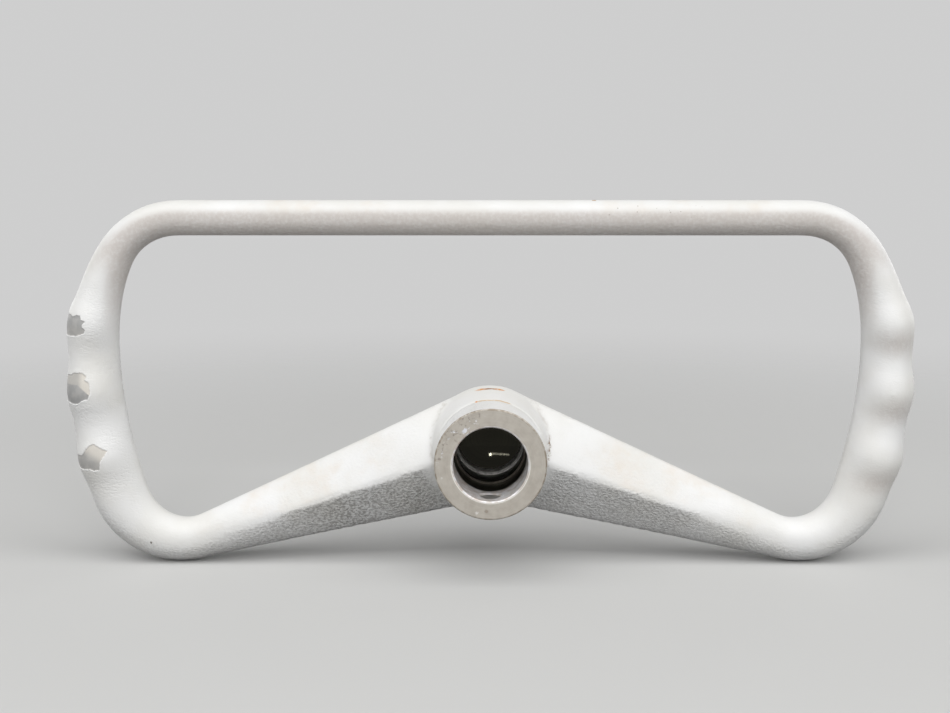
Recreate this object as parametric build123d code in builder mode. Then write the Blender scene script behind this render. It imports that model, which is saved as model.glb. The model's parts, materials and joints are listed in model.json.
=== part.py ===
from build123d import *

import math
import os

# Aircraft control yoke: a cast wheel with finger grips on a turned steel hub sleeve.
# Millimetres. The origin is the centre of the bore's mouth, the mouth faces -Y, +Z is up.

# Axis of the loop, seen along the bore. Over the first finger swells the wheel is 304.8 wide.
axis_width = 284.85
axis_depth = 35.0
bar_height = 81.4
corner_radius = 26.0
corner_turn = 62.0
shoulder_radius = 75.0
grip_bend_radius = 175.0
grip_lean = 16.7
lower_corner_radius = 24.0
arm_aim_height = 2.0

# Sections of the casting: half widths across the loop, depths before and behind its plane
bar_diameter = 12.7
grip_half_width = 9.3
grip_widening = 1.0
grip_front_depth = 8.6
grip_back_depth = 9.0
grip_growth_length = 50.0
heel_inner_half_width = 7.3
heel_outer_half_width = 8.4
heel_depth = 7.4
arm_lower_reach = 22.7
arm_ridge_depth = 12.0
arm_back_depth = 9.5
arm_sharpening_length = 50.0

# Handles of the curves round a section, as shares of its reach: round ones, and those of a sharp arm
round_handle = 0.5523
arm_rim_handle = 0.15
arm_ridge_handle = 0.5
arm_ridge_fall = 0.38

# Finger swells on the outer and front sides of each grip
swell_count = 3
swell_pitch = 24.2
swell_outer_height = 1.6
swell_front_height = 2.0
swell_crest_power = 1.3
first_swell_above_bend = 11.7

# Hub
boss_diameter = 38.1
boss_length = 16.0
boss_edge_chamfer = 0.4
eye_radius = 21.5
eye_back_radius = 19.3
eye_back_chamfer = 1.5
shank_diameter = 31.75
shank_flats = 28.6
shank_end_depth = 46.0
press_gap = 0.02

# Bore
bore_diameter = 25.4
mouth_chamfer = 0.4
stop_ring_depth = 26.0
stop_ring_wire = 1.2
stop_ring_stand = 0.6
stop_ring_opening = 70.0
stop_ring_play = 0.05
bush_length = 6.4
bush_wall = 2.1
bush_bore_diameter = 23.6
bush_lead_in = 0.7
plug_thickness = 3.0
plug_lead_in = 0.4

# Lock screw
screw_diameter = 7.94
screw_play = 0.04
screw_depth = 7.7
screw_length = 5.4
screw_tip_below_wall = 0.35
screw_point_chamfer = 0.5
screw_socket_across = 3.97
screw_socket_depth = 2.6

# Loft stations of half the loop, and how far it passes the middle before it is cut there
corner_stations = 10
stations_per_swell = 6
heel_stations = 10
arm_stations = 12
middle_overlap = 5.0

os.makedirs("parts", exist_ok=True)

boss_radius = boss_diameter / 2
shank_radius = shank_diameter / 2
bore_radius = bore_diameter / 2
bush_radius = bush_bore_diameter / 2 + bush_wall
screw_radius = screw_diameter / 2
bush_front_depth = shank_end_depth - bush_length
eye_back_depth = shank_end_depth + plug_thickness


# Axis of the right half of the loop: bar, corner, shoulder, grip bend, lower corner (heel) and arm.
# The arm is the tangent to the heel from the point above the bore where both arms aim.
turn = math.radians(corner_turn)
lean = math.radians(grip_lean)
axis_half_width = axis_width / 2
corner_reach = corner_radius * math.sin(turn) + shoulder_radius * (1 - math.sin(turn))
corner_drop = corner_radius * (1 - math.cos(turn)) + shoulder_radius * math.cos(turn)
bar_half_length = axis_half_width - corner_reach
bend_end_x = axis_half_width - grip_bend_radius * (1 - math.cos(lean))
bend_end_z = bar_height - corner_drop - grip_bend_radius * math.sin(lean)
heel_x = bend_end_x - lower_corner_radius * math.cos(lean)
heel_z = bend_end_z + lower_corner_radius * math.sin(lean)
heel_distance = math.hypot(heel_x, heel_z - arm_aim_height)
arm_rise = math.atan2(arm_aim_height - heel_z, heel_x) + math.asin(lower_corner_radius / heel_distance)
heel_turn = 90 - grip_lean + math.degrees(arm_rise)

# The arms' upper edges run tangent into the eye's circle, so each arm ends a little before the bore.
arm_full_length = math.sqrt(heel_distance**2 - lower_corner_radius**2) - arm_aim_height * math.sin(arm_rise)
arm_upper_reach = eye_radius - arm_aim_height * math.cos(arm_rise)
arm_flare = (arm_upper_reach - heel_inner_half_width) / arm_full_length
arm_length = arm_full_length - arm_flare * eye_radius

with BuildLine(Plane.XZ.offset(-axis_depth)) as loop_axis:
    bar_axis = Line((-middle_overlap, bar_height), (bar_half_length, bar_height))
    corner = JernArc(bar_axis @ 1, bar_axis % 1, corner_radius, -corner_turn)
    shoulder = JernArc(corner @ 1, corner % 1, shoulder_radius, corner_turn - 90)
    grip_bend = JernArc(shoulder @ 1, shoulder % 1, grip_bend_radius, -grip_lean)
    heel = JernArc(grip_bend @ 1, grip_bend % 1, lower_corner_radius, -heel_turn)
    arm_axis = Line(heel @ 1, heel @ 1 + (heel % 1) * arm_length)

# Places along the axis, counted from the bar's end
stretches = [bar_axis, corner, shoulder, grip_bend, heel, arm_axis]
bar_start = -bar_axis.length
bend_start = corner.length + shoulder.length
heel_start = bend_start + grip_bend.length
arm_start = heel_start + heel.length
first_swell = bend_start - first_swell_above_bend
swells_start = first_swell - swell_pitch / 2
swells_end = first_swell + swell_pitch * (swell_count - 0.5)
grip_start = first_swell + swell_pitch / 2 - grip_growth_length


def ease(share):
    """Smooth step from 0 to 1."""
    share = min(max(share, 0.0), 1.0)
    return share * share * (3 - 2 * share)


def mix(start, end, share):
    return start + (end - start) * share


def swell(run):
    """Share of the finger swells' height at a place along the axis."""
    if not swells_start < run < swells_end:
        return 0.0
    wave = (1 + math.cos(2 * math.pi * (run - first_swell) / swell_pitch)) / 2
    return wave**swell_crest_power


def reaches(run):
    """Outer, inner, front and back reach of the section at a place along the axis, and its sharpness."""
    if run > arm_start:
        along = run - arm_start
        upper = heel_inner_half_width + arm_flare * along
        lower = mix(heel_outer_half_width, arm_lower_reach, along / arm_full_length)
        front = mix(heel_depth, arm_ridge_depth, along / arm_full_length)
        back = mix(heel_depth, arm_back_depth, along / arm_full_length)
        return lower, upper, front, back, ease(along / arm_sharpening_length)
    growth = ease((run - grip_start) / grip_growth_length)
    fading = ease((run - swells_end) / (arm_start - swells_end))
    widening = grip_widening * ease((run - first_swell) / (heel_start - first_swell))
    half_width = mix(bar_diameter / 2, grip_half_width + widening, growth)
    outer = mix(half_width - growth * swell_outer_height / 2, heel_outer_half_width, fading)
    inner = mix(half_width, heel_inner_half_width, fading)
    front = mix(mix(bar_diameter / 2, grip_front_depth, growth), heel_depth, fading)
    back = mix(mix(bar_diameter / 2, grip_back_depth, growth), heel_depth, fading)
    rise = swell(run)
    return outer + swell_outer_height * rise, inner, front + swell_front_height * rise, back, 0


def quarters(outer, inner, front, back, sharpness):
    """Control points of the four curves round a section; a sharp one has a ridge in front."""
    rim = mix(round_handle, arm_rim_handle, sharpness) * front
    flank = front * (1 - arm_ridge_fall * sharpness)
    ridge = mix(round_handle, arm_ridge_handle, sharpness)
    behind = round_handle * back
    return [
        ((outer, 0), (outer, rim), (ridge * outer, flank), (0, front)),
        ((0, front), (-ridge * inner, flank), (-inner, rim), (-inner, 0)),
        ((-inner, 0), (-inner, -behind), (-round_handle * inner, -back), (0, -back)),
        ((0, -back), (round_handle * outer, -back), (outer, -behind), (outer, 0)),
    ]


def evenly(start, end, count):
    """Places from start up to, but not at, end."""
    return [mix(start, end, step / count) for step in range(count)]


def section_plane(run):
    """Plane across the axis at a place along it, with its X pointing out of the loop."""
    rest = run - bar_start
    for stretch in stretches:
        if rest <= stretch.length or stretch is arm_axis:
            break
        rest -= stretch.length
    tangent = stretch % (rest / stretch.length)
    return Plane(
        origin=stretch @ (rest / stretch.length),
        x_dir=(-tangent.Z, 0, tangent.X),
        z_dir=tangent,
    )


stations = [bar_start]
stations += evenly(0, swells_start, corner_stations)
stations += evenly(swells_start, swells_end, swell_count * stations_per_swell)
stations += evenly(swells_end, arm_start, heel_stations)
stations += evenly(arm_start, arm_start + arm_length, arm_stations)
stations.append(arm_start + arm_length)


# Sections stand outside the part, with four edges each, so that the arms' ridges are edges of their own.
sections = []
for station in stations:
    outline = Wire([Edge.make_bezier(*points) for points in quarters(*reaches(station))])
    sections.append(section_plane(station) * Face(outline))


# Painted casting: lofted half loop and hub eye, cut at the middle and mirrored, with the sleeve's seat
with BuildPart() as wheel_casting:
    loft(sections, ruled=True)
    with BuildSketch(Plane.XY):
        with BuildLine():
            eye_front = Polyline((0, boss_length), (boss_radius, boss_length), (eye_radius, axis_depth))
            Polyline(
                eye_front @ 1,
                (eye_back_radius, eye_back_depth - eye_back_chamfer),
                (eye_back_radius - eye_back_chamfer, eye_back_depth),
                (0, eye_back_depth),
                eye_front @ 0,
            )
        make_face()
    revolve(axis=Axis.Y)
    split(bisect_by=Plane.YZ, keep=Keep.TOP)
    mirror(about=Plane.YZ)
    with BuildSketch(Plane.XZ.offset(-boss_length)):
        Circle(shank_radius + press_gap)
        Rectangle(shank_diameter, shank_flats + 2 * press_gap, mode=Mode.INTERSECT)
    extrude(amount=-(shank_end_depth - boss_length), mode=Mode.SUBTRACT)
    with BuildSketch(Plane.XZ.offset(-shank_end_depth)):
        Circle(shank_radius + press_gap)
    extrude(amount=-(eye_back_depth - shank_end_depth), mode=Mode.SUBTRACT)
wheel_casting.part.label = "wheel_casting"
export_step(wheel_casting.part, "parts/wheel_casting.step")


# Steel sleeve: bare boss in front, shank with two flats, bore with ring groove and bush seat
with BuildPart() as hub_sleeve:
    with BuildSketch(Plane.XZ):
        Circle(boss_radius)
    extrude(amount=-boss_length)
    chamfer(hub_sleeve.edges().sort_by(Axis.Y)[0], boss_edge_chamfer)
    with BuildSketch(Plane.XZ.offset(-boss_length)):
        Circle(shank_radius)
        Rectangle(shank_diameter, shank_flats, mode=Mode.INTERSECT)
    extrude(amount=-(shank_end_depth - boss_length))
    with BuildSketch(Plane.XY):
        with BuildLine():
            Polyline(
                (0, 0),
                (bore_radius + mouth_chamfer, 0),
                (bore_radius, mouth_chamfer),
                (bore_radius, bush_front_depth),
                (bush_radius + press_gap, bush_front_depth),
                (bush_radius + press_gap, shank_end_depth),
                (0, shank_end_depth),
                close=True,
            )
        make_face()
    revolve(axis=Axis.Y, mode=Mode.SUBTRACT)
    with BuildSketch(Plane.XY):
        groove_reach = bore_radius + stop_ring_wire - stop_ring_stand + stop_ring_play
        groove_middle = stop_ring_depth + stop_ring_wire / 2
        with Locations((groove_reach / 2, groove_middle)):
            Rectangle(groove_reach, stop_ring_wire + 2 * stop_ring_play)
    revolve(axis=Axis.Y, mode=Mode.SUBTRACT)
    with BuildSketch(Plane.XY.offset(-boss_radius)):
        with Locations((0, screw_depth)):
            Circle(screw_radius + screw_play)
    extrude(amount=boss_radius, mode=Mode.SUBTRACT)
hub_sleeve.part.label = "hub_sleeve"
export_step(hub_sleeve.part, "parts/hub_sleeve.step")


# Spring ring in the bore's groove, open at the top
with BuildPart() as stop_ring:
    ring_outer = bore_radius + stop_ring_wire - stop_ring_stand
    with BuildSketch(Plane.XZ.offset(-stop_ring_depth)):
        Circle(ring_outer)
        Circle(ring_outer - stop_ring_wire, mode=Mode.SUBTRACT)
        with BuildLine():
            gap_half = math.radians(stop_ring_opening / 2)
            gap_x = 2 * ring_outer * math.sin(gap_half)
            gap_z = 2 * ring_outer * math.cos(gap_half)
            Polyline((0, 0), (gap_x, gap_z), (-gap_x, gap_z), close=True)
        make_face(mode=Mode.SUBTRACT)
    extrude(amount=-stop_ring_wire)
stop_ring.part.label = "stop_ring"
export_step(stop_ring.part, "parts/stop_ring.step")


# Bush at the bottom of the bore, with a bright lead-in
with BuildPart() as hub_bush:
    with BuildSketch(Plane.XZ.offset(-bush_front_depth)):
        Circle(bush_radius)
        Circle(bush_bore_diameter / 2, mode=Mode.SUBTRACT)
    extrude(amount=-bush_length)
    chamfer(hub_bush.faces().sort_by(Axis.Y)[0].inner_wires().edges(), bush_lead_in)
hub_bush.part.label = "hub_bush"
export_step(hub_bush.part, "parts/hub_bush.step")


# Plug pressed into the eye behind the sleeve, with a lead-in on its inner edge
with BuildPart() as end_plug:
    with BuildSketch(Plane.XZ.offset(-shank_end_depth)):
        Circle(shank_radius)
    extrude(amount=-plug_thickness)
    chamfer(end_plug.edges().sort_by(Axis.Y)[0], plug_lead_in)
end_plug.part.label = "end_plug"
export_step(end_plug.part, "parts/end_plug.step")


# Headless lock screw below the mouth, backed off so that its flat end stays clear of the bore
with BuildPart() as lock_screw:
    screw_top = -(bore_radius + screw_tip_below_wall)
    screw_bottom = screw_top - screw_length
    with BuildSketch(Plane.XY.offset(screw_bottom)):
        with Locations((0, screw_depth)):
            Circle(screw_radius)
    extrude(amount=screw_length)
    chamfer(lock_screw.edges().filter_by(GeomType.CIRCLE).sort_by(Axis.Z)[-1], screw_point_chamfer)
    with BuildSketch(Plane.XY.offset(screw_bottom)):
        with Locations((0, screw_depth)):
            RegularPolygon(screw_socket_across / 2, 6, major_radius=False)
    extrude(amount=screw_socket_depth, mode=Mode.SUBTRACT)
lock_screw.part.label = "lock_screw"
export_step(lock_screw.part, "parts/lock_screw.step")
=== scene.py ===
import json
import math

import bmesh
import bpy
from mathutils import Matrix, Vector, noise


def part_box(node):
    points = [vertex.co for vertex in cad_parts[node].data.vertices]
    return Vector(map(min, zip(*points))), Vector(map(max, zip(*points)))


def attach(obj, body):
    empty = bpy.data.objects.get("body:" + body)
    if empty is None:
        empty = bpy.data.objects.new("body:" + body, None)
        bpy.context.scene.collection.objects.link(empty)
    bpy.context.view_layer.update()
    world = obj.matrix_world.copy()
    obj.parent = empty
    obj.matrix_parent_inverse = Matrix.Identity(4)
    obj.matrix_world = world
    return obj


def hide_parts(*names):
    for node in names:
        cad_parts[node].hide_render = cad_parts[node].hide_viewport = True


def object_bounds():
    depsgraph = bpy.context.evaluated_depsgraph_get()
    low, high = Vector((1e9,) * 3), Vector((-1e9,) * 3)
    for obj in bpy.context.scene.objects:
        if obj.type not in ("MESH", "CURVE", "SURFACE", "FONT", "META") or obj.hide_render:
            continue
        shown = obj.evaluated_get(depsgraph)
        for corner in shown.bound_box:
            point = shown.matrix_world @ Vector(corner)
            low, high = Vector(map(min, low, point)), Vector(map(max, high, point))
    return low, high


# Aircraft control yoke: the finish of the cast wheel and of its turned steel hub. Metres.
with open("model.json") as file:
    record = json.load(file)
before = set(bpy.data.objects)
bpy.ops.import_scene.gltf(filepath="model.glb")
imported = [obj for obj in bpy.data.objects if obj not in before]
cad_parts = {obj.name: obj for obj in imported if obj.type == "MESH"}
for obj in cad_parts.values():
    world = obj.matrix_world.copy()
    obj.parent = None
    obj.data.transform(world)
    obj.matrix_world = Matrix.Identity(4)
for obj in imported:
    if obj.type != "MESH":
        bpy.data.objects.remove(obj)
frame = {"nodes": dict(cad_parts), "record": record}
cad_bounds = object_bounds()

MM = 0.001

# Places on the hub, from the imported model
HUB_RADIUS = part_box("hub_sleeve")[1].x
BORE_RADIUS = frame["record"]["mounts"][0]["dims"]["r_mm"] * MM
BUSH_RADIUS = frame["record"]["mounts"][1]["dims"]["r_mm"] * MM
EYE_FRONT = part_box("wheel_casting")[0].y
PLUG_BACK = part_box("end_plug")[1].y

# Outside of the hub eye where the loop's plane crosses it
EYE_RADIUS = 21.5 * MM
LOOP_DEPTH = 35 * MM

# Limits of the casting's stretches, out from the middle and up
ARM_END = 122 * MM
ARM_TOP = 28 * MM
HEEL_START = 100 * MM
HEEL_TOP = -12 * MM
GRIP_START = 122 * MM
GRIP_TOP = 66 * MM
GRIP_BOTTOM = -34 * MM
BAR_BOTTOM = 60 * MM

# Wheel skin
SKIN_GRID = 0.94 * MM
SKIN_SMOOTHING = 8
PEEL_HEIGHT = 0.07 * MM
PEEL_SIZE = 3.2 * MM
SHARE_NAMES = (
    "peel", "bare", "rim", "pale", "wrinkle", "crease", "brown", "soil", "grime_and_shade", "speckled",
)

# Cast grain: its share all over, what the arms and lower corners add, and how far the arms' share fades
PLAIN_CAST = 0.25
ARM_CAST = 0.75
ARM_CAST_FADE = 0.4
HEEL_CAST = 0.2

# Hand grime on the bar; painted shade on its corners' inner sides and in the valleys under the right grip's
# swells, given across and up, in millimetres
BAR_GRIME_AND_SHADE = 0.8
VALLEY_SHADE = 0.62
VALLEY_SHADE_BACK = 40 * MM
VALLEY_WIDTH = 11.0
VALLEY_HEIGHT = 6.0
RIGHT_VALLEYS = ((144.0, 37.5), (144.5, 13.0), (138.5, -12.5))

# Crease between an arm and the hub eye
CREASE_START = 12 * MM
CREASE_OFFSET = 0.7 * MM

# Chipped paint: its depth in metres, the rest in millimetres
CHIP_DEPTH = 0.24 * MM
CHIP_RIM_RISE = 0.35 * CHIP_DEPTH
CHIP_CUTS = 3
CHIP_RIM_WIDTH = 0.5
CHIP_RAGGEDNESS = 0.22
CHIP_BACK_EDGE = 35.5
CHIP_BACK_WANDER = 1.5
CHIP_INNER_LIMIT = -134.0
CHIP_MARGIN = 1.2

# Outlines of the chipped paint on the left grip, across and up, in millimetres.
# They run past the grip's outer side, where the back edge ends them.
OUTSIDE = -156.0
CHIPS = [
    [
        (OUTSIDE, 48.2), (-149.4, 48.3), (-146.9, 47.1), (-145.1, 47.8), (-143.9, 47.3), (-143.4, 45.9),
        (-141.7, 45.5), (-143.1, 44.4), (-143.2, 43.4), (-142.0, 42.3), (-142.7, 41.0), (-146.0, 40.1),
        (-149.0, 40.2), (OUTSIDE, 40.8),
    ],
    [
        (OUTSIDE, 25.4), (-148.8, 26.2), (-146.8, 27.1), (-143.9, 27.1), (-142.2, 25.7), (-143.2, 24.7),
        (-141.5, 23.6), (-141.1, 19.8), (-142.1, 17.7), (-144.3, 17.1), (-146.1, 15.8), (-147.9, 15.8),
        (OUTSIDE, 17.2),
    ],
    [
        (OUTSIDE, -3.4), (-145.9, -2.9), (-143.9, -0.3), (-142.3, 1.1), (-140.9, 1.6), (-138.5, 0.2),
        (-136.0, -0.9), (-137.3, -2.8), (-138.7, -5.0), (-139.0, -7.8), (-141.1, -8.1), (-142.9, -7.7),
        (-145.0, -8.1), (OUTSIDE, -7.4),
    ],
]

# Heights of the chips' middles, and the lower edge of the undercoat in the middle one:
# level outside its corner, sloping down inside it
TOP_CHIP = 44.0
MIDDLE_CHIP = 21.5
LOW_CHIP = -3.5
UNDERCOAT_LEVEL = 22.8
UNDERCOAT_CORNER = -145.8
UNDERCOAT_SLOPE = 0.82

# Single stains on the enamel: across, depth, up and size in millimetres, and colour
STAINS = (
    (-4.8, 17.4, 18.8, 0.7, (214, 148, 86)),
    (36.6, 33.8, 87.6, 0.9, (196, 160, 118)),
    (-122.1, 27.4, -35.0, 0.5, (136, 130, 124)),
)

# Marks on the bare ring: across, up and size in millimetres, and colour
RING_MARKS = (
    (-8.6, 11.6, 1.0, (222, 223, 228)),
    (-4.6, -16.6, 0.6, (214, 211, 207)),
    (-1.4, -16.0, 0.7, (160, 150, 139)),
    (-17.2, 2.0, 0.6, (160, 152, 144)),
    (-16.4, -4.5, 0.4, (206, 203, 198)),
)

# Depths along the bore: where the dark oil with painted shade starts and is full, and where the plug's
# paint does
OIL_SHADE_START = 14.4 * MM
OIL_SHADE_FULL = 15.6 * MM
PLUG_PAINT_START = PLUG_BACK - 0.8 * MM
PLUG_PAINT_FULL = PLUG_BACK - 0.2 * MM

# Surroundings: brightness as light on the object, and where they are seen themselves
WORLD_AS_LIGHT = 0.17
WORLD_AS_SEEN = 0.62
FLOOR_AS_LIGHT = (0.16, 0.16, 0.16, 1.0)
FLOOR_AS_SEEN = (0.66, 0.66, 0.65, 1.0)
FLOOR_RADIUS = 3.0
FLOOR_FADE_START = 0.2
FLOOR_FADE_END = 0.8

# Lamps: name, place, target, width, height and power in watts
LAMPS = (
    ("overhead", (0.0, -1.02, 2.27), (0, 0.03, 0.02), 5.6, 1.9, 63.0),
    ("front_fill", (0.1, -1.28, 0.8), (0, 0.03, 0.02), 0.9, 0.5, 5.2),
    ("front_glint", (-0.01, -1.5, 0.1), (0, 0.03, 0.0), 0.04, 0.04, 0.8),
    ("side_streak", (-0.24, -1.5, 0.09), (0, 0.03, 0.0), 0.4, 0.03, 0.5),
    ("left_side", (-0.6, -0.45, 0.16), (-0.14, 0.03, -0.02), 0.5, 0.4, 0.85),
    ("right_side", (0.6, -0.45, 0.16), (0.14, 0.03, -0.02), 0.5, 0.4, 0.85),
    ("back_fill_left", (-1.1, 0.9, 0.3), (0, 0.03, 0.02), 0.7, 0.6, 2.4),
    ("back_fill_right", (1.1, 0.9, 0.3), (0, 0.03, 0.02), 0.7, 0.6, 2.4),
)

# Camera; its lens and sensor are in millimetres
CAMERA_PLACE = (-0.0039, -0.4218, 0.0958)
CAMERA_TILT = math.radians(82.03)
CAMERA_TURN = math.radians(0.18)
CAMERA_LENS = 48.7
CAMERA_SENSOR = 36.0
CAMERA_CLIP_START = 0.01


def srgb(red, green, blue):
    """Colour of a finish, given as it looks, 0 to 255."""
    shares = []
    for value in (red, green, blue):
        share = value / 255
        shares.append(share / 12.92 if share <= 0.04045 else ((share + 0.055) / 1.055) ** 2.4)
    return (*shares, 1.0)


def grey(level):
    """A share as a colour, for mixing it as one."""
    return (level, level, level, 1.0)


def ease(value, low, high):
    """Smooth step from 0 at low to 1 at high."""
    share = min(max((value - low) / (high - low), 0.0), 1.0)
    return share * share * (3 - 2 * share)


def between(start, end, share):
    return start + (end - start) * share


# Enamel
ENAMEL = srgb(243, 243, 242)
ENAMEL_CLOUD = srgb(236, 235, 231)
SOIL_TAN = srgb(232, 221, 207)
# Painted shade in the cast grain's hollows, with dirt
GRAIN_SHADE_AND_DIRT = srgb(152, 148, 143)
# Hand grime, with painted shade on inner corners and under the right grip's swells
GRIME_AND_SHADE = srgb(204, 196, 190)
# Crack lines and painted shade in the arm-to-eye crease
CREASE_SHADE_GREY = srgb(176, 168, 158)
CREASE_BROWN = srgb(122, 92, 66)
RUST_DARK = srgb(150, 98, 56)
RUST_LIGHT = srgb(216, 152, 88)
SEAM_RUST = srgb(198, 168, 126)
SPECK = srgb(160, 148, 136)

# Chips
CHIP_METAL = srgb(168, 168, 167)
CHIP_METAL_CLOUD = srgb(182, 181, 179)
UNDERCOAT = srgb(224, 219, 210)
# Thick paint edge under the chips, whitened as a painted highlight
PAINT_EDGE_HIGHLIGHT = srgb(250, 250, 249)

# Hub and bore
RING_STEEL = srgb(189, 183, 173)
RING_CLOUD = srgb(175, 168, 158)
RING_TURNING = srgb(201, 197, 190)
RING_PIT = srgb(158, 146, 138)
PAINT_FLAKE = srgb(232, 232, 234)
RIM_DIRT = srgb(136, 122, 104)
MOUTH_EDGE = srgb(238, 235, 228)
MOUTH_STEEL = srgb(236, 235, 236)
MOUTH_CLOUD = srgb(208, 200, 192)
MOUTH_STAIN = srgb(186, 146, 116)
# Oil down the bore, darkened as painted shade
BORE_OIL_AND_SHADE = srgb(44, 43, 36)
# Plug face and its marks, near black as painted shade
PLUG_SHADE_DARK = srgb(28, 27, 22)
PLUG_SHADE_MARK = srgb(38, 37, 30)
SPRING_WIRE = srgb(84, 79, 72)
# Bush nearly white as a painted highlight in the shaded bore
BUSH_HIGHLIGHT_STEEL = srgb(244, 242, 237)
SCREW_STEEL = srgb(186, 184, 180)


class Finish:
    """A material in the making, with short ways to add and join its nodes."""

    def __init__(self, name):
        self.material = bpy.data.materials.new(name)
        self.material.use_nodes = True
        self.tree = self.material.node_tree
        self.shader = self.tree.nodes["Principled BSDF"]
        self.place = self.add("ShaderNodeTexCoord").outputs["Object"]

    def add(self, kind, *inputs, **settings):
        """Adds a node; inputs are sockets to join or values to set, in the node's order."""
        node = self.tree.nodes.new(kind)
        for name, value in settings.items():
            setattr(node, name, value)
        for socket, value in zip(node.inputs, inputs):
            self.feed(socket, value)
        return node

    def feed(self, socket, value):
        if isinstance(value, bpy.types.NodeSocket):
            self.tree.links.new(value, socket)
        elif value is not None:
            socket.default_value = value

    def set(self, values):
        """Joins or sets the shader's own sockets, by name."""
        for name, value in values.items():
            self.feed(self.shader.inputs[name], value)

    def maths(self, operation, first, second=None, third=None):
        return self.add("ShaderNodeMath", first, second, third, operation=operation).outputs[0]

    def times(self, first, *others):
        for other in others:
            first = self.maths("MULTIPLY", first, other)
        return first

    def span(self, value, low, high, start=0.0, end=1.0):
        """Value carried smoothly from the span low to high onto start to end."""
        node = self.add("ShaderNodeMapRange", value, low, high, start, end, interpolation_type="SMOOTHSTEP")
        return node.outputs[0]

    def mix(self, share, first, second):
        """Colour between first and second; a mix node's colour sockets have no names of their own."""
        node = self.add("ShaderNodeMix", data_type="RGBA")
        self.feed(node.inputs["Factor"], share)
        self.feed(node.inputs[6], first)
        self.feed(node.inputs[7], second)
        return node.outputs[2]

    def spots(self, size, detail=2.0, roughness=0.5, place=None):
        """Soft noise whose spots are about as large as size."""
        node = self.add("ShaderNodeTexNoise")
        self.feed(node.inputs["Vector"], place or self.place)
        self.feed(node.inputs["Scale"], 1 / size)
        self.feed(node.inputs["Detail"], detail)
        self.feed(node.inputs["Roughness"], roughness)
        return node.outputs["Fac"]

    def ripples(self, size, place=None):
        """Winding creases between rounded bumps: 0 in a crease, 1 on a bump."""
        off = self.maths("ABSOLUTE", self.maths("SUBTRACT", self.spots(size, 1.5, 0.5, place), 0.5))
        return self.span(off, 0.0, 0.1)

    def stretched(self, x, y, z):
        """Place with each axis scaled, for patterns that run one way."""
        return self.add("ShaderNodeVectorMath", self.place, (x, y, z), operation="MULTIPLY").outputs[0]

    def axes(self):
        return self.add("ShaderNodeSeparateXYZ", self.place).outputs

    def from_axis(self):
        """Distance from the bore's axis."""
        x, _, z = self.axes()
        return self.maths("SQRT", self.maths("ADD", self.times(x, x), self.times(z, z)))

    def round_bore(self):
        """Place that changes only out from the bore's axis and along it, for turning marks."""
        _, depth, _ = self.axes()
        return self.add("ShaderNodeCombineXYZ", self.from_axis(), depth, 0.0).outputs[0]

    def blot(self, x, y, z, size):
        """A soft ragged spot round a place."""
        distance = self.add("ShaderNodeVectorMath", self.place, (x, y, z), operation="DISTANCE")
        rags = self.spots(size * 0.7, 3, 0.6)
        ragged = self.maths("MULTIPLY_ADD", rags, size * 2.2, distance.outputs["Value"])
        return self.span(ragged, size * 2.1, size * 1.8)

    def painted(self, name):
        """A share that was worked out for each point of the surface."""
        return self.add("ShaderNodeAttribute", attribute_name=name).outputs["Fac"]

    def bump(self, height, depth, below=None):
        node = self.add("ShaderNodeBump")
        self.feed(node.inputs["Strength"], 1.0)
        self.feed(node.inputs["Distance"], depth)
        self.feed(node.inputs["Height"], height)
        if below is not None:
            self.feed(node.inputs["Normal"], below)
        return node.outputs[0]


def enamel_colour(finish):
    """White enamel with faint warm clouds."""
    clouds = finish.span(finish.spots(24 * MM, 3), 0.35, 0.68)
    return finish.mix(clouds, ENAMEL, ENAMEL_CLOUD)


def soiled_enamel(finish, pebble):
    """Enamel with tan soil, dirt and painted shade in the cast grain's hollows, hand grime with painted
    shade, and crack lines with painted shade in the creases.
    """
    peel = finish.painted("peel")
    crease = finish.painted("crease")
    colour = enamel_colour(finish)
    tan = finish.span(finish.spots(14 * MM, 4, 0.6), 0.42, 0.75)
    colour = finish.mix(finish.times(tan, finish.painted("soil"), 0.5), colour, SOIL_TAN)
    # Grain hollows darkened as painted shade with dirt: most on lower faces, more on the left
    darker_left_shade = finish.span(finish.axes()[0], -20 * MM, 20 * MM, 0.72, 0.42)
    grain_shade_and_dirt = finish.times(finish.span(pebble, 0.58, 0.4), peel, peel, darker_left_shade)
    colour = finish.mix(grain_shade_and_dirt, colour, GRAIN_SHADE_AND_DIRT)
    # Hand grime with painted shade, broken into smears
    smears = finish.span(finish.spots(1.3 * MM, 3, 0.6), 0.2, 0.65, 0.6, 1.0)
    colour = finish.mix(finish.times(smears, finish.painted("grime_and_shade")), colour, GRIME_AND_SHADE)
    # Crack lines and painted shade along the crease
    cracks_and_shade = finish.span(finish.spots(3.2 * MM, 3, 0.6), 0.4, 0.7)
    colour = finish.mix(finish.times(crease, cracks_and_shade, 0.45), colour, CREASE_SHADE_GREY)
    spotted = finish.span(finish.spots(1.1 * MM, 4, 0.7), 0.5, 0.62)
    return finish.mix(finish.times(crease, finish.painted("brown"), spotted), colour, CREASE_BROWN)


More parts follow.
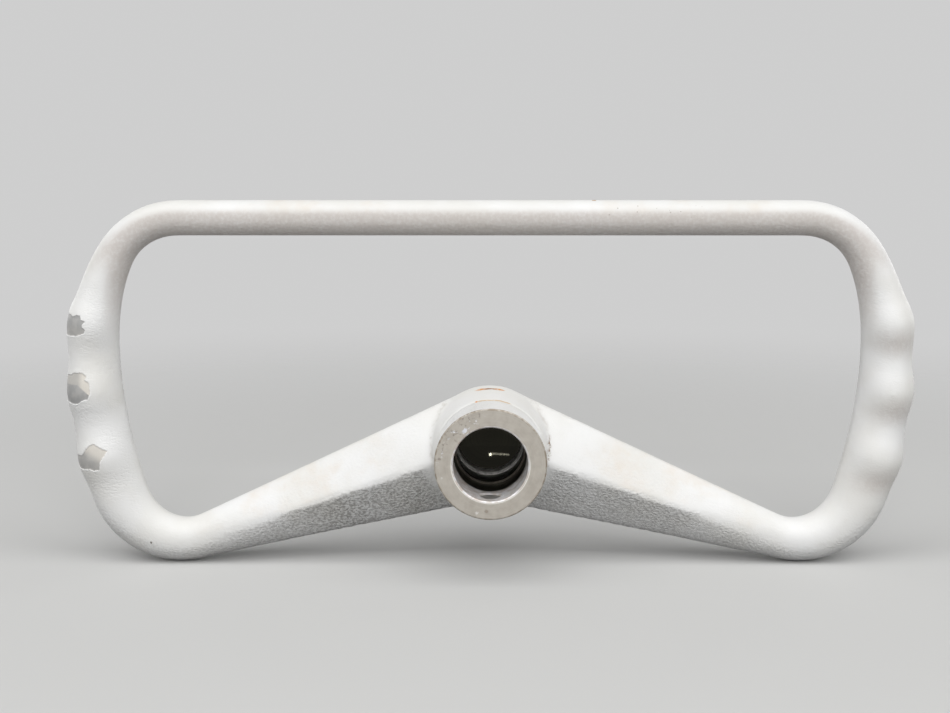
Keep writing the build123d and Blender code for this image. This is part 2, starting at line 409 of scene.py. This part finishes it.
def rust_arc(finish, depth, width, left, right, breaks):
    """A broken rust line round the hub's top, at a depth along the bore."""
    x, y, z = finish.axes()
    wander = finish.times(finish.maths("SUBTRACT", finish.spots(5 * MM), 0.5), 1.2 * MM)
    off = finish.maths("ABSOLUTE", finish.maths("SUBTRACT", finish.maths("ADD", y, wander), depth))
    ends = finish.times(finish.span(x, left - MM, left + MM), finish.span(x, right + MM, right - MM))
    reach = finish.times(finish.span(finish.maths("ABSOLUTE", x), 0.0, 3.5 * MM, width * 0.8, width), ends)
    line = finish.span(finish.maths("SUBTRACT", off, reach), 0.0, -width * 0.3)
    broken = finish.span(finish.spots(1.6 * MM, 4, 0.7), breaks - 0.1, breaks + 0.1)
    on_hub = finish.times(finish.span(z, 14 * MM, 16 * MM), finish.span(z, 26 * MM, 24 * MM))
    return finish.times(line, broken, on_hub)


def stained(finish, colour):
    """Adds the rust round the hub's top, the single stains and the specks on the bar's top."""
    across = finish.maths("ABSOLUTE", finish.axes()[0])
    middle = finish.maths("ADD", across, finish.times(finish.spots(2 * MM, 3), 2 * MM))
    rust_tint = finish.mix(finish.span(middle, 1.5 * MM, 4 * MM), RUST_DARK, RUST_LIGHT)
    rust = rust_arc(finish, depth=30.6 * MM, width=1.15 * MM, left=-5 * MM, right=5 * MM, breaks=0.42)
    colour = finish.mix(rust, colour, rust_tint)
    seam = rust_arc(finish, depth=17.5 * MM, width=0.45 * MM, left=-5.2 * MM, right=7 * MM, breaks=0.36)
    colour = finish.mix(finish.times(seam, 0.75), colour, SEAM_RUST)
    for x, y, z, size, tint in STAINS:
        colour = finish.mix(finish.blot(x * MM, y * MM, z * MM, size * MM), colour, srgb(*tint))
    specks = finish.add("ShaderNodeTexVoronoi")
    finish.feed(specks.inputs["Vector"], finish.place)
    finish.feed(specks.inputs["Scale"], 1 / (2.4 * MM))
    speck = finish.span(specks.outputs["Distance"], 0.15, 0.05)
    return finish.mix(finish.times(speck, finish.painted("speckled"), 0.6), colour, SPECK)


def chipped(finish, colour):
    """Adds the chips: bare metal, some pale undercoat, and the paint's thick edge below them, whitened as a
    painted highlight.
    """
    clouds = finish.span(finish.spots(3 * MM, 3), 0.4, 0.65)
    metal = finish.mix(clouds, CHIP_METAL, CHIP_METAL_CLOUD)
    metal = finish.mix(finish.painted("pale"), metal, UNDERCOAT)
    # Paint edge under the chips: whiter as a painted highlight
    colour = finish.mix(finish.painted("rim"), colour, PAINT_EDGE_HIGHLIGHT)
    return finish.mix(finish.painted("bare"), colour, metal)


def cast_enamel():
    """Paint on the cast wheel: grainy where the casting is rough, chipped on the left grip."""
    finish = Finish("cast_enamel")
    pebble = finish.spots(0.8 * MM, 3, 0.6, finish.stretched(0.8, 1, 1))
    colour = soiled_enamel(finish, pebble)
    colour = stained(finish, colour)
    colour = chipped(finish, colour)

    wrinkles = finish.ripples(1.5 * MM, finish.stretched(0.6, 0.6, 1.3))
    fine = finish.bump(finish.spots(0.5 * MM, 2), 0.02 * MM)
    folds = finish.bump(finish.times(wrinkles, finish.painted("wrinkle")), 0.05 * MM, fine)
    rough = finish.bump(finish.times(pebble, finish.painted("peel")), 1.15 * MM, folds)
    gloss = finish.span(finish.spots(2.2 * MM, 3), 0.3, 0.7, 0.42, 0.55)
    finish.set({"Base Color": colour, "Roughness": gloss, "Normal": rough, "Specular IOR Level": 0.35})
    return finish.material


def bare_ring(finish, turning):
    """Colour of the bare ring round the mouth, and the share of its sunk pits and flakes."""
    x, _, z = finish.axes()
    radius = finish.from_axis()
    clouds = finish.span(finish.spots(4 * MM, 4, 0.6), 0.35, 0.7)
    colour = finish.mix(clouds, RING_STEEL, RING_CLOUD)
    colour = finish.mix(finish.span(turning, 0.35, 0.65, 0.0, 0.3), colour, RING_TURNING)
    upper_left = finish.span(finish.maths("SUBTRACT", z, x), 17 * MM, 22 * MM)
    pits = finish.times(finish.span(finish.spots(1.1 * MM, 4, 0.7), 0.56, 0.68), upper_left)
    colour = finish.mix(pits, colour, RING_PIT)
    scatter = finish.spots(1.9 * MM, 3, 0.6, finish.stretched(1, 1, 1.3))
    flakes = finish.times(finish.span(scatter, 0.6, 0.64), upper_left)
    colour = finish.mix(flakes, colour, PAINT_FLAKE)
    for across, up, size, tint in RING_MARKS:
        mark = finish.blot(across * MM, 0.0, up * MM, size * MM)
        colour = finish.mix(mark, colour, srgb(*tint))
    rim = finish.span(radius, HUB_RADIUS - 0.75 * MM, HUB_RADIUS - 0.35 * MM)
    rim_dirt = finish.times(rim, finish.span(finish.spots(2.2 * MM, 4, 0.65), 0.42, 0.6), 0.7)
    colour = finish.mix(rim_dirt, colour, RIM_DIRT)
    mouth_edge = finish.span(radius, BORE_RADIUS + 0.95 * MM, BORE_RADIUS + 0.65 * MM)
    worn = finish.times(mouth_edge, finish.span(z, 6 * MM, -4 * MM))
    return finish.mix(worn, colour, MOUTH_EDGE), finish.maths("MAXIMUM", pits, flakes)


def bore_wall(finish, deep):
    """Colour of the bore: a bright mouth, stained brown on its left, then dark oil, darkened further as
    painted shade.
    """
    clouds = finish.span(finish.spots(3 * MM, 3), 0.4, 0.65)
    mouth = finish.mix(clouds, MOUTH_STEEL, MOUTH_CLOUD)
    left = finish.span(finish.axes()[0], -1 * MM, -8 * MM)
    stain = finish.times(left, finish.span(finish.spots(2 * MM, 3), 0.45, 0.6), 0.35)
    mouth = finish.mix(stain, mouth, MOUTH_STAIN)
    return finish.mix(deep, mouth, BORE_OIL_AND_SHADE)


def hub_steel():
    """Turned steel: enamel outside, bare ring in front, bright mouth, oily down the bore and darkened there
    as painted shade.
    """
    finish = Finish("hub_steel")
    depth = finish.axes()[1]
    radius = finish.from_axis()
    turning = finish.spots(0.4 * MM, 2, 0.6, finish.round_bore())
    # Dark oil deep in the bore, darkened as painted shade
    oil_shade_edge = finish.maths("ADD", depth, finish.times(finish.spots(6 * MM), 1.2 * MM))
    deep = finish.span(oil_shade_edge, OIL_SHADE_START, OIL_SHADE_FULL)
    inside = finish.span(radius, BORE_RADIUS + 0.6 * MM, BORE_RADIUS + 0.45 * MM)
    outside = finish.span(radius, HUB_RADIUS - 0.6 * MM, HUB_RADIUS - 0.3 * MM)
    outside = finish.times(outside, finish.span(depth, 0.45 * MM, 0.9 * MM))

    ring, sunken = bare_ring(finish, turning)
    colour = finish.mix(inside, ring, bore_wall(finish, deep))
    colour = finish.mix(outside, colour, enamel_colour(finish))
    dull = finish.mix(inside, grey(0.5), finish.mix(deep, grey(0.2), grey(0.32)))
    dull = finish.mix(outside, dull, grey(0.45))
    sheen = finish.mix(inside, grey(0.45), finish.mix(deep, grey(0.15), grey(0.6)))
    sheen = finish.mix(outside, sheen, grey(0.0))
    sunk = finish.bump(finish.maths("SUBTRACT", 1.0, sunken), 0.15 * MM)
    finish.set(
        {
            "Base Color": colour,
            "Metallic": sheen,
            "Roughness": dull,
            "Normal": finish.bump(turning, 0.03 * MM, sunk),
            "Specular IOR Level": 0.35,
        }
    )
    return finish.material


def bright_steel(name, colour, rough, sheen):
    """Worked steel with fine marks round the bore's axis."""
    finish = Finish(name)
    marks = finish.spots(0.3 * MM, 2, 0.6, finish.round_bore())
    shade = tuple(value * 0.6 for value in colour[:3]) + (1.0,)
    finish.set(
        {
            "Base Color": finish.mix(finish.span(finish.spots(2.5 * MM, 3), 0.4, 0.7), colour, shade),
            "Metallic": sheen,
            "Roughness": finish.span(marks, 0.3, 0.7, rough, rough + 0.12),
            "Normal": finish.bump(marks, 0.02 * MM),
        }
    )
    return finish.material


def plug_metal():
    """Oiled face towards the mouth, near black as painted shade; enamel on the pilot's side."""
    finish = Finish("plug_metal")
    marks = finish.spots(0.3 * MM, 2, 0.6, finish.round_bore())
    depth = finish.axes()[1]
    back = finish.span(depth, PLUG_PAINT_START, PLUG_PAINT_FULL)
    # Near black face: oiled metal darkened as painted shade
    face = finish.mix(finish.span(marks, 0.35, 0.65), PLUG_SHADE_DARK, PLUG_SHADE_MARK)
    finish.set(
        {
            "Base Color": finish.mix(back, face, enamel_colour(finish)),
            "Metallic": finish.span(depth, PLUG_PAINT_START, PLUG_PAINT_FULL, 0.9, 0.0),
            "Roughness": finish.span(depth, PLUG_PAINT_START, PLUG_PAINT_FULL, 0.04, 0.45),
            "Normal": finish.bump(marks, 0.003 * MM),
        }
    )
    return finish.material


def inside_by(point, outline):
    """How far a point lies inside an outline; less than nothing outside it."""
    across, up = point
    nearest = math.inf
    within = False
    for (x1, z1), (x2, z2) in zip(outline, outline[1:] + outline[:1]):
        run, rise = x2 - x1, z2 - z1
        share = ((across - x1) * run + (up - z1) * rise) / (run * run + rise * rise)
        share = min(max(share, 0.0), 1.0)
        nearest = min(nearest, math.hypot(across - x1 - share * run, up - z1 - share * rise))
        if (z1 > up) != (z2 > up) and across < x1 + run * (up - z1) / rise:
            within = not within
    return nearest if within else -nearest


def near_chips(co):
    x, y, z = co / MM
    if x > CHIP_INNER_LIMIT or y > CHIP_BACK_EDGE + CHIP_BACK_WANDER + 1:
        return False
    for outline in CHIPS:
        heights = [up for _, up in outline]
        if min(heights) - CHIP_MARGIN < z < max(heights) + CHIP_MARGIN:
            return True
    return False


def chip_reach(co):
    """How far, in millimetres, a point of the left grip lies inside the nearest chip."""
    x, y, z = co / MM
    reach = max(inside_by((x, z), outline) for outline in CHIPS)
    back_edge = CHIP_BACK_EDGE + CHIP_BACK_WANDER * noise.noise(Vector((x, y, z)) * 0.6)
    return min(reach, back_edge - y) + CHIP_RAGGEDNESS * noise.noise(Vector((x, y, z)) * 1.7)


def nearest_chip(height):
    """Height of the middle of the nearest chip."""
    return min((TOP_CHIP, MIDDLE_CHIP, LOW_CHIP), key=lambda middle: abs(middle - height))


def chip_paleness(co):
    """Share of pale undercoat left in a chip: most at the top of the two lower ones."""
    x, _, z = co / MM
    chip = nearest_chip(z)
    if chip == TOP_CHIP:
        return 0.18 * ease(TOP_CHIP - z, -2.0, 3.0)
    if chip == MIDDLE_CHIP:
        above = z - UNDERCOAT_LEVEL + UNDERCOAT_SLOPE * max(x - UNDERCOAT_CORNER, 0.0)
        return between(0.45, 1.0, ease(x, -146.0, -143.5)) * ease(above, -0.25, 0.35)
    return 0.2 + 0.7 * ease(z - LOW_CHIP + 0.6 * (x + 141), -2.0, 2.5)


def below_chip(co):
    """Share of the thick paint edge at a point, whitened as a painted highlight: it shows under a chip, not
    over it.
    """
    height = co.z / MM
    return ease(nearest_chip(height) - height, -0.5, 2.5)


def downward(normal, low, high):
    return ease(-normal.z, low, high)


def cast_roughness(co, normal):
    """How strongly the cast skin shows through the enamel at a point."""
    side = abs(co.x)
    arm = ease(ARM_END - side, 0.0, 20 * MM) * ease(ARM_TOP - co.z, 0.0, 10 * MM)
    heel = ease(side, HEEL_START, HEEL_START + 20 * MM) * ease(HEEL_TOP - co.z, 0.0, 18 * MM)
    towards_heel = ease(side, 50 * MM, 115 * MM)
    strength = PLAIN_CAST + arm * (ARM_CAST - ARM_CAST_FADE * towards_heel) + HEEL_CAST * heel * (1 - arm)
    lower_side = between(0.16, 1.0, downward(normal, -0.05, 0.45))
    patchy = 0.9 + 0.2 * noise.noise(co / (14 * MM))
    from_hub = ease(math.hypot(co.x, co.z), EYE_RADIUS, EYE_RADIUS + 5 * MM)
    return strength * lower_side * patchy * between(0.06, 1.0, from_hub)


def bar_grime_and_shade(co, normal):
    """Share of the grime on the bar's front, and of the painted shade that runs down the inner sides of its
    corners.
    """
    inward = ease(-normal.x * math.copysign(1.0, co.x), -0.1, 1.0)
    low = BAR_BOTTOM - 25 * MM * inward
    high = low + 12 * MM + 16 * MM * inward
    return ease(co.z, low, high) * ease(0.62 - normal.z, 0.0, 0.5)


def valley_shade(co):
    """Share of the painted shade under the right grip's swells, on its front."""
    nearness = 0.0
    for across, up in RIGHT_VALLEYS:
        away = math.hypot((co.x / MM - across) / VALLEY_WIDTH, (co.z / MM - up) / VALLEY_HEIGHT)
        nearness = max(nearness, 1 - ease(away, 0.0, 1.3))
    return nearness * ease(VALLEY_SHADE_BACK - co.y, 0.0, 6 * MM)


def eye_reach(depth):
    """Radius of the hub eye's outside at a depth along the bore, in front of the loop's plane."""
    share = (depth - EYE_FRONT) / (LOOP_DEPTH - EYE_FRONT)
    return between(HUB_RADIUS, EYE_RADIUS, min(max(share, 0.0), 1.0))


def arm_crease(co):
    """Nearness to the inner corner where an arm meets the hub eye."""
    if co.y > LOOP_DEPTH or abs(co.x) < CREASE_START:
        return 0.0
    off = abs(math.hypot(co.x, co.z) - eye_reach(co.y) - CREASE_OFFSET)
    return 1 - ease(off, 0.25 * MM, 0.8 * MM)


def crease_brown(co):
    """Share of brown in the crease: only on the right, and below the hub's upper half."""
    return ease(co.x, 0.0, 15 * MM) * ease(6 * MM - co.z, 0.0, 4 * MM)


def arm_soil(co, normal):
    """Share of tan soil on the arms' upper faces."""
    side = abs(co.x)
    along = ease(side, 30 * MM, 45 * MM) * ease(110 * MM - side, 0.0, 20 * MM)
    return along * (1 - downward(normal, -0.3, 0.0))


def bar_specks(co):
    """Share of the specks on the right half of the bar, just under its top."""
    across = ease(co.x, 34 * MM, 40 * MM) * ease(76 * MM - co.x, 0.0, 6 * MM)
    return across * ease(co.z, 81.5 * MM, 82.5 * MM) * ease(86.5 * MM - co.z, 0.0, 1 * MM)


def wrinkling(co, bare):
    """Fine folds across the grips, strongest on the left one."""
    grip = ease(abs(co.x), GRIP_START, GRIP_START + 8 * MM)
    grip *= ease(GRIP_TOP - co.z, 0.0, 12 * MM) * ease(co.z - GRIP_BOTTOM, 0.0, 15 * MM)
    side = 1.0 if co.x < 0 else 0.4
    return side * grip * (1 - bare) * ease(noise.noise(co / (9 * MM)), -0.3, 0.3)


def skin_point(co, normal):
    """Shares that the enamel reads at a point of the skin, and how far the point stands out."""
    roughness = cast_roughness(co, normal)
    height = roughness * PEEL_HEIGHT * noise.noise(co / PEEL_SIZE)
    bare = rim = pale = 0.0
    if near_chips(co):
        reach = chip_reach(co)
        bare = ease(reach, -0.08, 0.12)
        rim = ease(reach, -CHIP_RIM_WIDTH, -0.1) * (1 - bare) * below_chip(co)
        pale = chip_paleness(co)
        height += CHIP_RIM_RISE * rim - CHIP_DEPTH * bare
    shares = {
        "peel": roughness * (1 - bare),
        "bare": bare,
        "rim": rim,
        "pale": pale,
        "wrinkle": wrinkling(co, bare),
        "crease": arm_crease(co),
        "brown": crease_brown(co),
        "soil": arm_soil(co, normal),
        # Grime on the bar with painted shade on its corners' inner sides; painted shade in the right grip's
        # valleys
        "grime_and_shade": max(BAR_GRIME_AND_SHADE * bar_grime_and_shade(co, normal), VALLEY_SHADE * valley_shade(co)),
        "speckled": bar_specks(co),
    }
    return shares, height


def even_casting():
    """The casting's solid as a new object, with an even mesh in place of its long triangles."""
    mesh = frame["nodes"]["wheel_casting"].data.copy()
    mesh.materials.clear()
    skin = bpy.data.objects.new("wheel_skin", mesh)
    bpy.context.scene.collection.objects.link(skin)
    shape = bmesh.new()
    shape.from_mesh(mesh)
    bmesh.ops.remove_doubles(shape, verts=shape.verts, dist=0.001 * MM)
    shape.to_mesh(mesh)
    shape.free()
    remesh = skin.modifiers.new("even", "REMESH")
    remesh.mode = "VOXEL"
    remesh.voxel_size = SKIN_GRID
    remesh.adaptivity = 0.0
    even = bpy.data.meshes.new_from_object(skin.evaluated_get(bpy.context.evaluated_depsgraph_get()))
    even.name = "wheel_skin"
    skin.modifiers.clear()
    skin.data = even
    bpy.data.meshes.remove(mesh)
    return skin


def wheel_skin():
    """The casting's skin, with cast peel and chips in its shape."""
    skin = even_casting()
    shape = bmesh.new()
    shape.from_mesh(skin.data)
    for _ in range(SKIN_SMOOTHING):
        bmesh.ops.smooth_vert(
            shape, verts=shape.verts, factor=0.5, use_axis_x=True, use_axis_y=True, use_axis_z=True
        )
    around_chips = [face for face in shape.faces if near_chips(face.calc_center_median())]
    edges = list(dict.fromkeys(edge for face in around_chips for edge in face.edges))
    bmesh.ops.subdivide_edges(shape, edges=edges, cuts=CHIP_CUTS, use_grid_fill=True)
    bmesh.ops.recalc_face_normals(shape, faces=shape.faces)
    shape.normal_update()
    layers = {name: shape.verts.layers.float.new(name) for name in SHARE_NAMES}
    moves = []
    for vert in shape.verts:
        shares, height = skin_point(vert.co, vert.normal)
        for name, share in shares.items():
            vert[layers[name]] = share
        moves.append(vert.normal * height)
    for vert, move in zip(shape.verts, moves):
        vert.co += move
    for face in shape.faces:
        face.smooth = True
    shape.to_mesh(skin.data)
    shape.free()
    skin.data.materials.append(cast_enamel())
    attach(skin, "wheel")
    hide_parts("wheel_casting")


def dished_plug():
    """The plug with the shallow dish of its inner face, turned from its profile."""
    low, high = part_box("end_plug")
    dish_depth = 1.5 * MM
    dish_steps = 18
    lead_in = 0.4 * MM
    turn_steps = 96
    sharp_from = math.radians(8)
    profile = []
    for step in range(dish_steps + 1):
        share = step / dish_steps
        profile.append((BUSH_RADIUS * share, low.y + dish_depth * (1 - share * share)))
    profile += [(high.x - lead_in, low.y), (high.x, low.y + lead_in), (high.x, high.y), (0.0, high.y)]
    shape = bmesh.new()
    verts = [shape.verts.new((radius, depth, 0.0)) for radius, depth in profile]
    edges = [shape.edges.new(pair) for pair in zip(verts, verts[1:])]
    bmesh.ops.spin(
        shape,
        geom=verts + edges,
        cent=(0, 0, 0),
        axis=(0, 1, 0),
        angle=math.tau,
        steps=turn_steps,
        use_merge=True,
    )
    bmesh.ops.remove_doubles(shape, verts=shape.verts, dist=0.001 * MM)
    bmesh.ops.recalc_face_normals(shape, faces=shape.faces)
    for face in shape.faces:
        face.smooth = True
    for edge in shape.edges:
        edge.smooth = edge.calc_face_angle(0.0) < sharp_from
    mesh = bpy.data.meshes.new("plug_disc")
    shape.to_mesh(mesh)
    shape.free()
    mesh.materials.append(plug_metal())
    plug = bpy.data.objects.new("plug_disc", mesh)
    bpy.context.scene.collection.objects.link(plug)
    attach(plug, "wheel")
    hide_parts("end_plug")


def dress(node, material):
    """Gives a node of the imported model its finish."""
    slots = frame["nodes"][node].data.materials
    slots.clear()
    slots.append(material)


def seen_rays(outputs, maximum):
    """Rays that show the surroundings themselves: to the camera, off gloss and through glass."""
    seen = maximum(outputs["Is Camera Ray"], outputs["Is Glossy Ray"])
    return maximum(seen, outputs["Is Transmission Ray"])


def pale_floor():
    """Disc of plain floor that fades into the background."""
    shape = bmesh.new()
    bmesh.ops.create_circle(shape, cap_ends=True, segments=96, radius=FLOOR_RADIUS)
    bmesh.ops.translate(shape, verts=shape.verts, vec=(0, LOOP_DEPTH, cad_bounds[0].z))
    mesh = bpy.data.meshes.new("floor")
    shape.to_mesh(mesh)
    shape.free()
    floor = bpy.data.objects.new("floor", mesh)
    bpy.context.scene.collection.objects.link(floor)
    finish = Finish("pale_floor")
    rays = finish.add("ShaderNodeLightPath").outputs
    seen = seen_rays(rays, lambda first, second: finish.maths("MAXIMUM", first, second))
    finish.set(
        {
            "Base Color": finish.mix(seen, FLOOR_AS_LIGHT, FLOOR_AS_SEEN),
            "Roughness": 0.9,
            "Specular IOR Level": 0.0,
        }
    )
    x, y, _ = finish.axes()
    away = finish.maths("SQRT", finish.maths("ADD", finish.times(x, x), finish.times(y, y)))
    fade = finish.span(away, FLOOR_FADE_START, FLOOR_FADE_END)
    clear = finish.add("ShaderNodeBsdfTransparent").outputs[0]
    faded = finish.add("ShaderNodeMixShader", fade, finish.shader.outputs[0], clear)
    finish.tree.links.new(faded.outputs[0], finish.tree.nodes["Material Output"].inputs["Surface"])
    mesh.materials.append(finish.material)


def plain_world():
    """Even surroundings: weak as light, pale where they are seen."""
    world = bpy.data.worlds.new("studio")
    bpy.context.scene.world = world
    world.use_nodes = True
    tree = world.node_tree

    def maximum(first, second):
        node = tree.nodes.new("ShaderNodeMath")
        node.operation = "MAXIMUM"
        tree.links.new(first, node.inputs[0])
        tree.links.new(second, node.inputs[1])
        return node.outputs[0]

    backdrop = tree.nodes["Background"]
    backdrop.inputs["Color"].default_value = (1.0, 1.0, 1.0, 1.0)
    rays = tree.nodes.new("ShaderNodeLightPath").outputs
    level = tree.nodes.new("ShaderNodeMapRange")
    tree.links.new(seen_rays(rays, maximum), level.inputs["Value"])
    level.inputs["To Min"].default_value = WORLD_AS_LIGHT
    level.inputs["To Max"].default_value = WORLD_AS_SEEN
    tree.links.new(level.outputs[0], backdrop.inputs["Strength"])


def lamps():
    """Soft light from above, with weaker lamps in front, beside and behind."""
    for name, place, target, width, height, power in LAMPS:
        lamp = bpy.data.lights.new(name, "AREA")
        lamp.shape = "RECTANGLE"
        lamp.size = width
        lamp.size_y = height
        lamp.energy = power
        light = bpy.data.objects.new(name, lamp)
        light.location = place
        light.rotation_euler = (Vector(target) - Vector(place)).to_track_quat("-Z", "Y").to_euler()
        bpy.context.scene.collection.objects.link(light)


def front_camera():
    """Camera in front of the mouth and a little above it."""
    lens = bpy.data.cameras.new("camera")
    lens.sensor_fit = "HORIZONTAL"
    lens.sensor_width = CAMERA_SENSOR
    lens.lens = CAMERA_LENS
    lens.clip_start = CAMERA_CLIP_START
    camera = bpy.data.objects.new("camera", lens)
    camera.location = CAMERA_PLACE
    camera.rotation_euler = (CAMERA_TILT, 0, CAMERA_TURN)
    bpy.context.scene.collection.objects.link(camera)
    bpy.context.scene.camera = camera


wheel_skin()
dished_plug()
dress("hub_sleeve", hub_steel())
dress("stop_ring", bright_steel("spring_wire", SPRING_WIRE, rough=0.25, sheen=1.0))
# Bush made nearly white as a painted highlight in the shaded bore
dress("hub_bush", bright_steel("bush_steel_highlight", BUSH_HIGHLIGHT_STEEL, rough=0.3, sheen=0.2))
dress("lock_screw", bright_steel("screw_steel", SCREW_STEEL, rough=0.42, sheen=0.7))

bpy.context.scene.view_settings.view_transform = "Standard"
pale_floor()
plain_world()
lamps()
front_camera()
